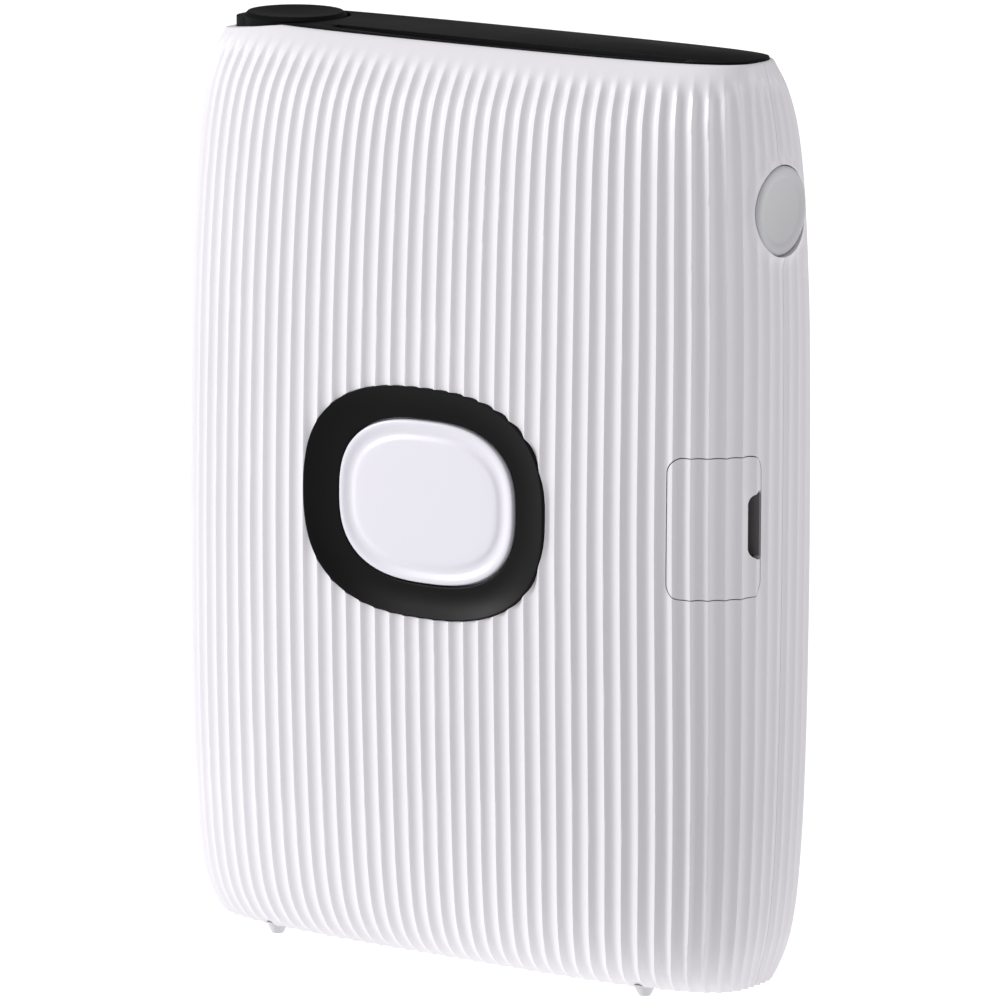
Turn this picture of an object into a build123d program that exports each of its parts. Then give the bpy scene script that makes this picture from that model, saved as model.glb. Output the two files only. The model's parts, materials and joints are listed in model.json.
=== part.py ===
from build123d import *
import functools
import math
import os

# A pocket printer for small instant film cards, standing upright.
# Millimetres. X is across the front, the front faces -Y and Z is up.
# The model is drawn with Z = 0 at the case's underside and lifted by the feet's height as it is exported.

# ---- driving dimensions ----
HEIGHT = 124.5
WALL = 1.6
FOOT_HEIGHT = 1.2
GAP = 0.15

# Half-width and half-depth of the case at each height: a pillow with a rounded foot and a narrower top.
HALF_WIDTH = [(0, 42.44), (2.5, 43.2), (6, 44.15), (12, 44.9), (22, 45.5), (40, 45.86), (62, 45.95),
              (85, 45.88), (103, 45.32), (113, 44.6), (120, 43.4), (HEIGHT, 41.78)]
HALF_DEPTH = [(0, 10.9), (1.5, 12.9), (4, 14.6), (8, 15.8), (15, 16.6), (26, 17.2), (42, 17.8), (62, 18.2),
              (82, 17.9), (98, 17.3), (109, 16.4), (116, 15.1), (121, 12.65), (HEIGHT, 9.65)]
# Exponent of the rounded-rectangle sections: squarer at the foot than at the top.
EXPONENT = [(0, 3.40), (62, 3.135), (HEIGHT, 3.01)]
SECTION_HEIGHTS = [0, 1.5, 4, 8, 15, 26, 34, 42, 52, 62, 72, 82, 90, 98, 104, 109, 116, 121, HEIGHT]
SECTION_POINTS = 48

# Film path: the cards leave through the top, to the right of the middle and in front of it.
FILM_X = 5.6
FILM_Y = -5.9
SLOT_LENGTH = 56.0
SLOT_FRONT = FILM_Y - 0.8
SLOT_BACK = FILM_Y + 0.8
SLOT_BOW = 1.6

# Film chamber for a pack of 65 x 91 x 18 mm.
PACK_X = (FILM_X - 32.5, FILM_X + 32.5)
PACK_Y = (-6.8, 11.5)
PACK_Z = (14.2, 106.6)
CHASSIS_WALL = 1.0
CHASSIS_FLOOR = 1.2

# Spreading rollers.
ROLLER_Z = 113.0
ROLLER_R = 2.3
ROLLER_X = (FILM_X - 26.8, FILM_X + 26.8)
ROLLER_SHAFT_R = 1.0
ROLLER_PITCH = 4.9
FRONT_ROLLER_Y = FILM_Y - ROLLER_PITCH / 2
REAR_ROLLER_Y = FILM_Y + ROLLER_PITCH / 2
RUNNING = 0.05
BLOCK_LEFT_X = (-23.8, -21.6)
BLOCK_RIGHT_X = (32.7, 34.7)

# Gear train: module 0.35 between the rollers and 0.5 for the rest, 25 degree pressure angle.
SYNC_MODULE = 0.35
SYNC_TEETH = 14
TRAIN_MODULE = 0.5
DRIVE_TEETH = 20
IDLER_TEETH = 24
COMPOUND_SMALL_TEETH = 12
COMPOUND_BIG_TEETH = 28
PINION_TEETH = 10
CAM_TEETH = 24
SYNC_X = (-26.0, -24.4)
PLATE_X = (-28.7, -27.9)
NEAR_X = (-31.4, -29.2)
FAR_X = (-33.6, -31.8)
DRIVE_YZ = (REAR_ROLLER_Y, ROLLER_Z)
IDLER_YZ = (3.05, 104.126)
COMPOUND_YZ = (1.55, 95.252)
PINION_YZ = (0.55, 85.805)
CAM_YZ = (4.55, 86.767)
AXLE_R = 0.9
GEAR_PLATE_SCREWS = [(-4.9, 80.5), (-6.4, 102.5), (10.9, 101.0)]
PRESSURE_ANGLE = math.radians(25)

# Motor: a flat can motor beside the gear train.
MOTOR_X = (-43.2, -34.8)
MOTOR_R = 5.8

# Power button and its bezel, rounded outlines on the front.
BUTTON_Z = 63.75
OUTLINE_EXPONENT = 2.6
BEZEL_HALF = (19.3, 15.6)
BUTTON_HALF = (14.0, 11.0)
BUTTON_CLEAR = 0.22
BEZEL_Y = (-17.95, -15.9)
BUTTON_CAP_Y = (-17.1, -15.7)
POWER_BOARD_Y = (-12.2, -11.4)

# Function button on the right side.
FUNCTION_Z = 105.1
FUNCTION_R = 5.95
FUNCTION_CAP_X = (42.0, 45.15)

# Charging port cover on the front right corner, hinged along its front edge.
PORT_Z = (54.4, 73.5)
PORT_HINGE = (36.45, -14.6)
PORT_EDGE_DIRECTION = (0.355, -0.935)
PORT_BACK_Y = -4.85
PORT_CORNER_R = 2.2
PORT_COVER_WALL = 1.2
NOTCH_Z = (59.4, 68.6)
NOTCH_DEPTH = 2.3
NOTCH_R = 1.8
SURROUND_X = (36.0, 36.8)
SURROUND_BACK_Y = -8.3
NOTCH_ARM_X = (39.5, 40.3)
SOCKET_Z = 63.9
SOCKET_X = (31.8, 36.7)

# Film door on the back, hinged along its left edge as seen from the front.
DOOR_X = (-31.3, 38.0)
DOOR_Z = (16.0, 106.0)
DOOR_CORNER_R = 1.5
DOOR_AXIS = (-31.0, 14.8)
DOOR_PIN_R = 0.75
KNUCKLE_R = 1.25
KNUCKLE_Z = [(34.0, 46.0), (78.0, 90.0)]
LIP_Y = (12.25, 12.85)
LATCH_X = 31.0

# Leaf springs on the door that press the film pack forward.
SPRING_X = (FILM_X - 14, FILM_X + 14)
SPRING_Z = (36.0, 86.0)
SPRING_END_Y = 15.2
SPRING_THICKNESS = 0.3
SPRING_BOW = 2.6

# Strap post at the top left corner.
POST_XY = (-32.7, -0.5)
POST_R = 3.0
POST_DISC_R = 7.0
POST_TOP = 125.3
RIM_FALL = 1.6
RIM_FALL_X = (-29.5, -41.0)

# Boards, and the claw that pushes a card out of the pack.
MAIN_BOARD_X = (-12, 36)
MAIN_BOARD_Y = (-9.9, -9.1)
CLAW_Z = (24.0, 73.5)
CLAW_LEDGE_Z = 41.0

FOOT_XY = (30.0, 8.6)
CASE_SCREWS = [(-38.0, 16.0), (-38.0, 106.0), (41.6, 24.0), (41.6, 90.0)]


# ---- helpers ----
def table_value(table, z):
    """Smooth value of a height table, by a cubic through its points with limited slopes."""
    if z <= table[0][0]:
        return table[0][1]
    if z >= table[-1][0]:
        return table[-1][1]
    steps = [(b[1] - a[1]) / (b[0] - a[0]) for a, b in zip(table, table[1:])]
    slopes = [steps[0]]
    for before, after in zip(steps, steps[1:]):
        slopes.append(0 if before * after <= 0 else 2 * before * after / (before + after))
    slopes.append(steps[-1])
    i = max(k for k in range(len(table) - 1) if table[k][0] <= z)
    (z0, v0), (z1, v1) = table[i], table[i + 1]
    span = z1 - z0
    t = (z - z0) / span
    rise = (2 * t**3 - 3 * t**2 + 1) * v0 + (3 * t**2 - 2 * t**3) * v1
    lean = (t**3 - 2 * t**2 + t) * slopes[i] + (t**3 - t**2) * slopes[i + 1]
    return rise + span * lean


def line_value(table, z):
    """Straight-line value of a height table."""
    for (z0, v0), (z1, v1) in zip(table, table[1:]):
        if z <= z1:
            return v0 + (v1 - v0) * (z - z0) / (z1 - z0)
    return table[-1][1]


def superellipse(a, b, exponent, count):
    """Points of |x/a|^n + |y/b|^n = 1, starting on +x."""
    points = []
    for k in range(count):
        angle = 2 * math.pi * k / count
        c, s = math.cos(angle), math.sin(angle)
        points.append((math.copysign(a * abs(c) ** (2 / exponent), c),
                       math.copysign(b * abs(s) ** (2 / exponent), s)))
    return points


def case_section(z, inset):
    """Closed outline of the case at a height, inset all round."""
    a = table_value(HALF_WIDTH, z) - inset
    b = table_value(HALF_DEPTH, z) - inset
    points = superellipse(a, b, line_value(EXPONENT, z), SECTION_POINTS)
    return Wire([Edge.make_spline([(x, y, z) for x, y in points], periodic=True)])


@functools.lru_cache
def case_body(inset, low=0.0, high=HEIGHT):
    """Solid that fills the case's outer form, inset all round, between two heights."""
    middle = [z for z in SECTION_HEIGHTS if low + 0.8 < z < high - 0.8]
    return Solid.make_loft([case_section(z, inset) for z in [low, *middle, high]])


def case_hollow(inset):
    """Solid that fills the case's hollow, at a given thickness of wall."""
    return case_body(inset, WALL, HEIGHT - WALL)


def block(x, y, z):
    """Box between two x, two y and two z."""
    size = (x[1] - x[0], y[1] - y[0], z[1] - z[0])
    return Pos(x[0], y[0], z[0]) * Box(*size, align=(Align.MIN, Align.MIN, Align.MIN))


def rod_x(x, yz, radius):
    """Cylinder along X."""
    base = Plane(origin=(x[0], yz[0], yz[1]), x_dir=(0, 1, 0), z_dir=(1, 0, 0))
    return extrude(base * Circle(radius), amount=x[1] - x[0])


def rod_y(y, xz, radius):
    """Cylinder along Y."""
    base = Plane(origin=(xz[0], y[0], xz[1]), x_dir=(1, 0, 0), z_dir=(0, 1, 0))
    return extrude(base * Circle(radius), amount=y[1] - y[0])


def rod_z(z, xy, radius):
    """Cylinder along Z."""
    return Pos(xy[0], xy[1], z[0]) * Cylinder(radius, z[1] - z[0], align=(Align.CENTER, Align.CENTER, Align.MIN))


def pad_y(half, y, exponent=OUTLINE_EXPONENT):
    """Rounded pad about the power button's centre, between two y."""
    points = [(x, y[0], BUTTON_Z + z) for x, z in superellipse(half[0], half[1], exponent, 40)]
    face = Face(Wire([Edge.make_spline(points, periodic=True)]))
    return Solid.extrude(face, Vector(0, y[1] - y[0], 0))


def dish_y(half_front, half_back, y):
    """Rounded tapering pad about the power button's centre."""
    wires = []
    for half, depth in ((half_front, y[0]), (half_back, y[1])):
        points = [(x, depth, BUTTON_Z + z) for x, z in superellipse(half[0], half[1], OUTLINE_EXPONENT, 40)]
        wires.append(Wire([Edge.make_spline(points, periodic=True)]))
    return Solid.make_loft(wires)


def grown(half, by):
    return half[0] + by, half[1] + by


def prism_z(points, z):
    """Prism of a polygon in plan."""
    face = make_face(Polyline(*[(x, y, z[0]) for x, y in points], close=True))
    return extrude(face, amount=z[1] - z[0], dir=(0, 0, 1))


def slab_xz(x, z, radius, y):
    """Plate in the XZ plane with rounded corners, between two y."""
    plane = Plane(origin=((x[0] + x[1]) / 2, y[0], (z[0] + z[1]) / 2), x_dir=(1, 0, 0), z_dir=(0, 1, 0))
    return extrude(plane * RectangleRounded(x[1] - x[0], z[1] - z[0], radius), amount=y[1] - y[0])


def slab_yz(y, z, radius, x):
    """Plate in the YZ plane with rounded corners, between two x."""
    plane = Plane(origin=(x[0], (y[0] + y[1]) / 2, (z[0] + z[1]) / 2), x_dir=(0, 1, 0), z_dir=(1, 0, 0))
    return extrude(plane * RectangleRounded(y[1] - y[0], z[1] - z[0], radius), amount=x[1] - x[0])


def involute(angle):
    return math.tan(angle) - angle


def gear_points(teeth, module, phase):
    """Outline of a spur gear with involute flanks in two straight steps."""
    pitch_r = module * teeth / 2
    base_r = pitch_r * math.cos(PRESSURE_ANGLE)
    tip_r = pitch_r + 0.8 * module
    root_r = pitch_r - 1.05 * module
    half_pitch = (math.pi / 2 - 0.16) / teeth
    points = []
    for tooth in range(teeth):
        centre = phase + 2 * math.pi * tooth / teeth
        flank = []
        for radius in (root_r, max(base_r, root_r + 0.02), pitch_r, tip_r):
            roll = math.acos(min(1.0, base_r / radius))
            flank.append((radius, half_pitch + involute(PRESSURE_ANGLE) - involute(roll)))
        for radius, half in flank:
            points.append((radius * math.cos(centre - half), radius * math.sin(centre - half)))
        for radius, half in reversed(flank):
            points.append((radius * math.cos(centre + half), radius * math.sin(centre + half)))
    return points


def gear(teeth, module, yz, x, phase, bore):
    """Spur gear that turns about an axis along X."""
    points = [(x[0], yz[0] + u, yz[1] + v) for u, v in gear_points(teeth, module, phase)]
    face = make_face(Polyline(*points, close=True))
    body = extrude(face, amount=x[1] - x[0], dir=(1, 0, 0))
    return body - rod_x((x[0] - 1, x[1] + 1), yz, bore)


def mesh_phase(yz, phase, teeth, other_yz, other_teeth):
    """Phase of the other gear that puts its gap on this gear's tooth."""
    line = math.atan2(other_yz[1] - yz[1], other_yz[0] - yz[0])
    share = ((line - phase) * teeth / (2 * math.pi)) % 1.0
    return line + math.pi + (share - 0.5) * 2 * math.pi / other_teeth


def coil(radius, wire, height, turns):
    """Open coil spring standing on Z = 0."""
    path = Helix(pitch=height / turns, height=height, radius=radius)
    section = Plane(origin=path @ 0, z_dir=path % 0) * Circle(wire)
    return sweep(section, path=path)


def save(name, *shapes):
    """Writes one sub-part, lifted by the feet's height."""
    solids = [s for shape in shapes for s in shape.solids()]
    lifted = [Pos(0, 0, FOOT_HEIGHT) * s for s in solids]
    export_step(Compound(children=lifted) if len(lifted) > 1 else lifted[0], f"parts/{name}.step")


# ---- case ----
def port_region(grow):
    """Prism over the charging port: a corner of the case, bounded by the hinge edge and the back edge."""
    dx, dy = PORT_EDGE_DIRECTION
    start = (PORT_HINGE[0] - grow, PORT_HINGE[1])
    inner = (start[0] - 2.6 * dx, start[1] - 2.6 * dy)
    outer = (start[0] + 6 * dx, start[1] + 6 * dy)
    back = PORT_BACK_Y + grow
    outline = [inner, outer, (52, outer[1]), (52, back), (41.2, back)]
    body = prism_z(outline, (PORT_Z[0] - grow, PORT_Z[1] + grow))
    hinge_side = [e for e in body.edges() if abs((e % 0.5).dot(Vector(dx, dy, 0))) > 0.999]
    back_side = [e for e in body.edges() if abs((e % 0.5).X) > 0.999 and e.center().Y > back - 0.1]
    return fillet(hinge_side + back_side, PORT_CORNER_R + grow)


def strap_cut():
    """The case's rim falls away towards the strap corner."""
    start, end = RIM_FALL_X
    slope = RIM_FALL / (start - end)
    far = start - 60
    points = [(start, HEIGHT), (far, HEIGHT - slope * 60), (far, HEIGHT + 5), (start, HEIGHT + 5)]
    face = make_face(Polyline(*[(x, -30, z) for x, z in points], close=True))
    return extrude(face, amount=60, dir=(0, 1, 0))


def foot_shape(x, y):
    cone = Cone(0.8, 1.6, 1.6, align=(Align.CENTER, Align.CENTER, Align.MIN))
    return Pos(x, y, -FOOT_HEIGHT) * cone


def feet():
    return [foot_shape(sx * FOOT_XY[0], sy * FOOT_XY[1]) for sx in (-1, 1) for sy in (-1, 1)]


def case_walls():
    """Outer form less the hollow. The top is open for the top panel."""
    hollow = case_hollow(WALL)
    mouth = top_outline(0.1, (HEIGHT - 2.2, HEIGHT + 1))
    walls = case_body(0) - hollow - mouth - strap_cut()
    walls -= rod_x((38, 50), (0, FUNCTION_Z), FUNCTION_R + GAP)
    for foot in feet():
        walls -= foot
    return walls


def top_outline(grow, z):
    """Outline of the top panel: the case's top section with a thin rim left outside it."""
    points = superellipse(41.25 + grow, 9.15 + grow, 3.01, SECTION_POINTS)
    wire = Wire([Edge.make_spline([(x, y, z[0]) for x, y in points], periodic=True)])
    return Solid.extrude(Face(wire), Vector(0, 0, z[1] - z[0]))


def front_cover(walls):
    cover = walls & block((-60, 60), (-40, -0.03), (-5, 140))
    cover -= pad_y(grown(BEZEL_HALF, 0.08), (-30, -10))
    cover -= port_region(0)
    hollow = case_body(WALL - 0.3, 1.0, HEIGHT - 4)
    for x, z in CASE_SCREWS:
        boss = rod_y((-17, -0.05), (x, z), 2.2) & hollow
        cover += boss
        cover -= rod_y((-6.5, 1), (x, z), 0.85)
    return cover


def door_lug(z):
    """Ears of the rear cover either side of a door knuckle."""
    x, y = DOOR_AXIS
    low = block((x - 3.4, x), (y - 1.7, y + 1.1), (z[0] - 2.4, z[0] - 0.15))
    high = block((x - 3.4, x), (y - 1.7, y + 1.1), (z[1] + 0.15, z[1] + 2.4))
    round_low = rod_z((z[0] - 2.4, z[0] - 0.15), DOOR_AXIS, KNUCKLE_R)
    round_high = rod_z((z[1] + 0.15, z[1] + 2.4), DOOR_AXIS, KNUCKLE_R)
    skin = case_body(0)
    return [(low & skin) + round_low, (high & skin) + round_high]


def door_lip():
    """Lip of the rear cover behind the gap that the door swings in, which keeps light out of the film chamber."""
    edge = DOOR_AXIS[0] - 1.75
    z = (DOOR_Z[0] - 0.25, DOOR_Z[1] + 0.25)
    lip = block((edge - 2.8, DOOR_AXIS[0] + 1.4), LIP_Y, z)
    root = block((edge - 2.8, edge), (LIP_Y[0], 16), z)
    return lip + (root & case_body(WALL - 0.3, 1.0, HEIGHT - 4))


def rear_cover(walls):
    cover = walls & block((-60, 60), (0.03, 40), (-5, 140))
    cover -= slab_xz((DOOR_AXIS[0] - 1.7, DOOR_X[1] + 0.25), (DOOR_Z[0] - 0.25, DOOR_Z[1] + 0.25),
                     DOOR_CORNER_R, (8, 30))
    hollow = case_body(WALL - 0.3, 1.0, HEIGHT - 4)
    for x, z in CASE_SCREWS:
        cover += rod_y((0.05, 17), (x, z), 2.4) & hollow
        cover -= rod_y((-1, 30), (x, z), 0.95)
        cover -= rod_y((3.0, 30), (x, z), 1.75)
    cover += door_lip()
    for z in KNUCKLE_Z:
        for ear in door_lug(z):
            cover += ear
    cover -= rod_z((20, 100), DOOR_AXIS, DOOR_PIN_R + 0.02)
    return cover


def door_hinge_pins():
    return [rod_z((z[0] - 2.4, z[1] + 2.4), DOOR_AXIS, DOOR_PIN_R) for z in KNUCKLE_Z]


def film_door():
    shell = case_body(0) - case_hollow(WALL)
    door = shell & slab_xz(DOOR_X, DOOR_Z, DOOR_CORNER_R, (8, 30))
    door -= block((-40, DOOR_AXIS[0] + KNUCKLE_R + 0.35), (8, 30), (KNUCKLE_Z[0][0] - 2.8, KNUCKLE_Z[0][1] + 2.8))
    door -= block((-40, DOOR_AXIS[0] + KNUCKLE_R + 0.35), (8, 30), (KNUCKLE_Z[1][0] - 2.8, KNUCKLE_Z[1][1] + 2.8))
    for z in KNUCKLE_Z:
        x, y = DOOR_AXIS
        arm = block((x, x + 2.6), (y - 0.9, y + 0.9), z)
        door += rod_z(z, DOOR_AXIS, KNUCKLE_R) + arm
    door -= rod_z((20, 100), DOOR_AXIS, DOOR_PIN_R + RUNNING)
    door -= block((LATCH_X - 2.8, LATCH_X + 2.8), (15.2, 30), (54, 70.6))
    door -= block((LATCH_X - 1.4, LATCH_X + 1.4), (8, 30), (57, 67.2))
    door += block((LATCH_X - 2, LATCH_X + 2), (11.9, 14.9), (70.6, 71.8))
    for x in SPRING_X:
        for z in SPRING_Z:
            door += block((x - 2.5, x + 2.5), (SPRING_END_Y, 16.5), (z - 2, z + 2))
    return door


def door_latch():
    pad = block((LATCH_X - 2.4, LATCH_X + 2.4), (15.35, 16.45), (54.6, 67.4))
    for k in range(4):
        z = 57.5 + 2.3 * k
        pad -= block((LATCH_X - 3, LATCH_X + 3), (16.15, 17), (z, z + 0.9))
    stem = block((LATCH_X - 1.2, LATCH_X + 1.2), (13.2, 15.4), (57.4, 64.2))
    plate = block((LATCH_X - 3, LATCH_X + 3.6), (12.1, 13.2), (56.5, 65))
    tongue = block((LATCH_X + 3.5, LATCH_X + 6.4), (11.2, 12.3), (58, 63))
    return pad + stem + plate + tongue


def latch_spring():
    return Pos(LATCH_X, 12.9, 65.35) * coil(0.85, 0.14, 4.9, 6)


def pressure_springs():
    """Two bowed leaf springs that press the film pack forward."""
    springs = []
    low, high = SPRING_Z
    middle = (low + high) / 2
    face_y = SPRING_END_Y - SPRING_THICKNESS
    for x in SPRING_X:
        plane = Plane(origin=(x - 3, 0, 0), x_dir=(0, 1, 0), z_dir=(1, 0, 0))
        front = ThreePointArc((face_y, low), (face_y - SPRING_BOW, middle), (face_y, high))
        back = ThreePointArc((SPRING_END_Y, high), (SPRING_END_Y - SPRING_BOW, middle), (SPRING_END_Y, low))
        edges = front + Line((face_y, high), (SPRING_END_Y, high)) + back + Line((SPRING_END_Y, low), (face_y, low))
        springs.append(extrude(plane * make_face(edges), amount=6))
    return springs


def usb_cover():
    shell = case_body(0) - case_hollow(PORT_COVER_WALL)
    cover = shell & port_region(-GAP)
    return cover - slab_yz((PORT_BACK_Y - NOTCH_DEPTH, PORT_BACK_Y + 3), NOTCH_Z, NOTCH_R, (40, 50))


def top_panel():
    panel = top_outline(0, (HEIGHT - 1.8, HEIGHT + 0.4))
    crown_r = 105.0
    crown = Plane(origin=(-60, 0, HEIGHT + 0.4 - crown_r), x_dir=(0, 1, 0), z_dir=(1, 0, 0)) * Circle(crown_r)
    panel = panel & extrude(crown, amount=120)
    panel -= rod_z((HEIGHT - 3, HEIGHT + 3), POST_XY, POST_DISC_R + 0.6)
    panel -= block((-60, POST_XY[0]), (-20, 20), (HEIGHT - 3, HEIGHT + 3))
    half = SLOT_LENGTH / 2
    front = ThreePointArc((FILM_X - half, SLOT_FRONT), (FILM_X, SLOT_FRONT - SLOT_BOW), (FILM_X + half, SLOT_FRONT))
    back = Line((FILM_X + half, SLOT_BACK), (FILM_X - half, SLOT_BACK))
    sides = Line((FILM_X + half, SLOT_FRONT), (FILM_X + half, SLOT_BACK))
    closing = Line((FILM_X - half, SLOT_BACK), (FILM_X - half, SLOT_FRONT))
    slot = Pos(0, 0, HEIGHT - 3) * make_face(front + sides + back + closing)
    return panel - extrude(slot, amount=6, dir=(0, 0, 1))


def strap_post():
    """Corner block with a disc on a post. The strap's loop runs round the post, under the disc."""
    x, y = POST_XY
    base = top_outline(-0.05, (HEIGHT - 6, HEIGHT - 0.1)) & block((-60, x), (-20, 20), (HEIGHT - 6, HEIGHT))
    floor = rod_z((HEIGHT - 6, HEIGHT - 5), POST_XY, POST_DISC_R + 0.4)
    channel = rod_z((HEIGHT - 5, HEIGHT + 2), POST_XY, POST_DISC_R + 0.4)
    floor = floor & top_outline(-0.05, (HEIGHT - 8, HEIGHT))
    wall = base - (channel & block((x - 3.2, 0), (-20, 20), (100, 140)))
    post = rod_z((HEIGHT - 5.5, HEIGHT), POST_XY, POST_R)
    disc = rod_z((POST_TOP - 1.7, POST_TOP), POST_XY, POST_DISC_R)
    disc = chamfer(disc.edges().filter_by(GeomType.CIRCLE).group_by(Axis.Z)[-1], 0.5)
    dish_r = 48.0
    dish = Pos(x, y, POST_TOP - 0.35 + dish_r) * Sphere(dish_r)
    return wall + floor + post + disc - dish


# ---- power button group ----
def button_bezel():
    body = pad_y(BEZEL_HALF, BEZEL_Y)
    rim = pad_y(grown(BEZEL_HALF, 1.7), (-16.6, -15.2)) & case_hollow(WALL + 0.03)
    rim -= pad_y(grown(BUTTON_HALF, 3.8), (-17, -15))
    dish = dish_y(grown(BEZEL_HALF, -0.25), grown(BUTTON_HALF, 0.4), (-17.96, -17.0))
    return body + rim - dish - pad_y(grown(BUTTON_HALF, BUTTON_CLEAR), (-20, -15.5))


def power_button():
    cap = pad_y(BUTTON_HALF, BUTTON_CAP_Y)
    flange = pad_y(grown(BUTTON_HALF, 1.1), (-15.75, -15.1))
    moat = pad_y(grown(BUTTON_HALF, -0.5), (-18, -16.6)) - pad_y(grown(BUTTON_HALF, -2.6), (-19, -16))
    stem = rod_y((-15.2, -14.2), (0, BUTTON_Z), 2.2)
    return cap + flange + stem - moat


def light_ring():
    return pad_y(grown(BUTTON_HALF, 3.2), (-15.3, -12.3)) - pad_y(grown(BUTTON_HALF, 1.35), (-16, -12))


def power_board():
    return slab_xz((-19, 19), (BUTTON_Z - 14.2, BUTTON_Z + 16), 1.5, POWER_BOARD_Y)


def power_switch():
    body = block((-3, 3), (-12.9, POWER_BOARD_Y[0]), (BUTTON_Z - 3, BUTTON_Z + 3))
    return body + rod_y((-13.6, -12.8), (0, BUTTON_Z), 1.7)


def status_leds():
    places = [(-16.2, 0), (16.2, 0), (0, -13.2), (0, 13.2)]
    y = (POWER_BOARD_Y[0] - 0.09, POWER_BOARD_Y[0])
    return [block((x - 0.8, x + 0.8), y, (BUTTON_Z + z - 0.6, BUTTON_Z + z + 0.6)) for x, z in places]


# ---- function button group ----
def function_button():
    cap = rod_x(FUNCTION_CAP_X, (0, FUNCTION_Z), FUNCTION_R)
    flange = rod_x((41.4, 42.05), (0, FUNCTION_Z), FUNCTION_R + 0.8)
    dish_r = 40.0
    dish = Pos(44.75 + dish_r, 0, FUNCTION_Z) * Sphere(dish_r)
    return cap + flange - dish


def function_board():
    return block((39.6, 40.2), (-5.5, 5.5), (FUNCTION_Z - 6.5, FUNCTION_Z + 6))


def function_switch():
    body = block((40.2, 40.75), (-1.8, 1.8), (FUNCTION_Z - 1.8, FUNCTION_Z + 1.8))
    return body + rod_x((40.7, 40.9), (0, FUNCTION_Z), 1.0)


# ---- boards and battery ----
def main_board():
    return block(MAIN_BOARD_X, MAIN_BOARD_Y, (50.5, 93))


def board_chips():
    chips = [(-5, 87, 7, 7, 1.1), (6, 88, 5, 5, 0.9), (14, 86.5, 4, 3, 0.8), (27, 55, 6, 5, 1.0), (24, 66, 3, 6, 1.2)]
    y = MAIN_BOARD_Y[0]
    return [block((x - w / 2, x + w / 2), (y - t, y), (z - h / 2, z + h / 2)) for x, z, w, h, t in chips]


def shield_can():
    y = MAIN_BOARD_Y[0]
    return block((20.5, 35.5), (y - 2.1, y), (75, 91)) - block((20.8, 35.2), (y - 1.8, y + 0.1), (75.3, 90.7))


def usb_socket():
    back, mouth = SOCKET_X
    body = block(SOCKET_X, (-12.6, MAIN_BOARD_Y[0]), (SOCKET_Z - 3.8, SOCKET_Z + 3.8))
    cavity = block((back + 1, mouth + 1), (-12.25, -10.25), (SOCKET_Z - 3.4, SOCKET_Z + 3.4))
    tongue = block((back + 0.9, mouth - 0.8), (-11.45, -11.0), (SOCKET_Z - 2.0, SOCKET_Z + 2.0))
    return body - cavity + tongue


def port_surround():
    """Inner wall of the charging port, with the socket's window and an arm that lines the cover's notch."""
    inside = case_hollow(WALL + 0.2)
    wall = block(SURROUND_X, (-14, SURROUND_BACK_Y), (PORT_Z[0] + 0.4, PORT_Z[1] - 0.4)) & inside
    back = PORT_BACK_Y - 0.02
    arm_z = (NOTCH_Z[0] + 0.45, NOTCH_Z[1] - 0.45)
    shelf = block((SURROUND_X[0], NOTCH_ARM_X[1]), (SURROUND_BACK_Y - 0.6, SURROUND_BACK_Y), arm_z)
    arm = block(NOTCH_ARM_X, (SURROUND_BACK_Y - 0.6, back), arm_z)
    strip = block((NOTCH_ARM_X[0], 50), (back - 0.4, back), arm_z) & case_body(0.05)
    window = block((35, 40), (-14, -9.75), (SOCKET_Z - 3.95, SOCKET_Z + 3.95))
    return wall + shelf + arm + strip - window


def battery_cell():
    cell = block((-22, 20), (-13.2, -8.65), (15, 49))
    return fillet(cell.edges().filter_by(Axis.Z), 1.2)


def battery_pad():
    return block((-18, 16), (-8.6, -8.05), (19, 45))


# ---- chassis ----
def chassis():
    outer = block((PACK_X[0] - CHASSIS_WALL, PACK_X[1] + CHASSIS_WALL), (-8.0, 11.8),
                  (PACK_Z[0] - CHASSIS_FLOOR, PACK_Z[1] + CHASSIS_FLOOR))
    outer = outer & case_body(WALL + 0.5, 2, 122)
    frame = outer - block(PACK_X, (PACK_Y[0], 30), PACK_Z)
    frame -= block((FILM_X - 28, FILM_X + 28), (-7.2, -4.9), (100, 110))
    frame -= block((-20.6, 31.8), (-9, -6), (93.8, 104.6))
    frame -= block((-30, -26), (5.6, 9.4), (21, 34))
    for z in (38.0, 64.0):
        channel = block((-30.1, -27.85), (5.0, 10.0), (z, z + 3))
        frame += channel - block((-29.5, -27.9), (5.75, 9.25), (z - 1, z + 4))
    frame += block((-32.4, -30.0), (6.2, 8.8), (CLAW_LEDGE_Z - 1.5, CLAW_LEDGE_Z))
    for y, z in GEAR_PLATE_SCREWS:
        frame -= rod_x((-30, -26.5), (y, z), 0.62)
    return frame


def exposure_head():
    return block((-20, 31.2), (-12.8, -8.3), (94.2, 104.2)) - block((-17.2, 28.4), (-9.4, -8.2), (98.8, 101.2))


def lens_array():
    return block((-17, 28.2), (-9.35, -7.3), (99, 101))


def bearing_block(x):
    body = block(x, (-10.4, -1.4), (PACK_Z[1] + CHASSIS_FLOOR, 115.6))
    for y in (FRONT_ROLLER_Y, REAR_ROLLER_Y):
        body -= rod_x((x[0] - 1, x[1] + 1), (y, ROLLER_Z), ROLLER_SHAFT_R + RUNNING)
    return body


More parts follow.
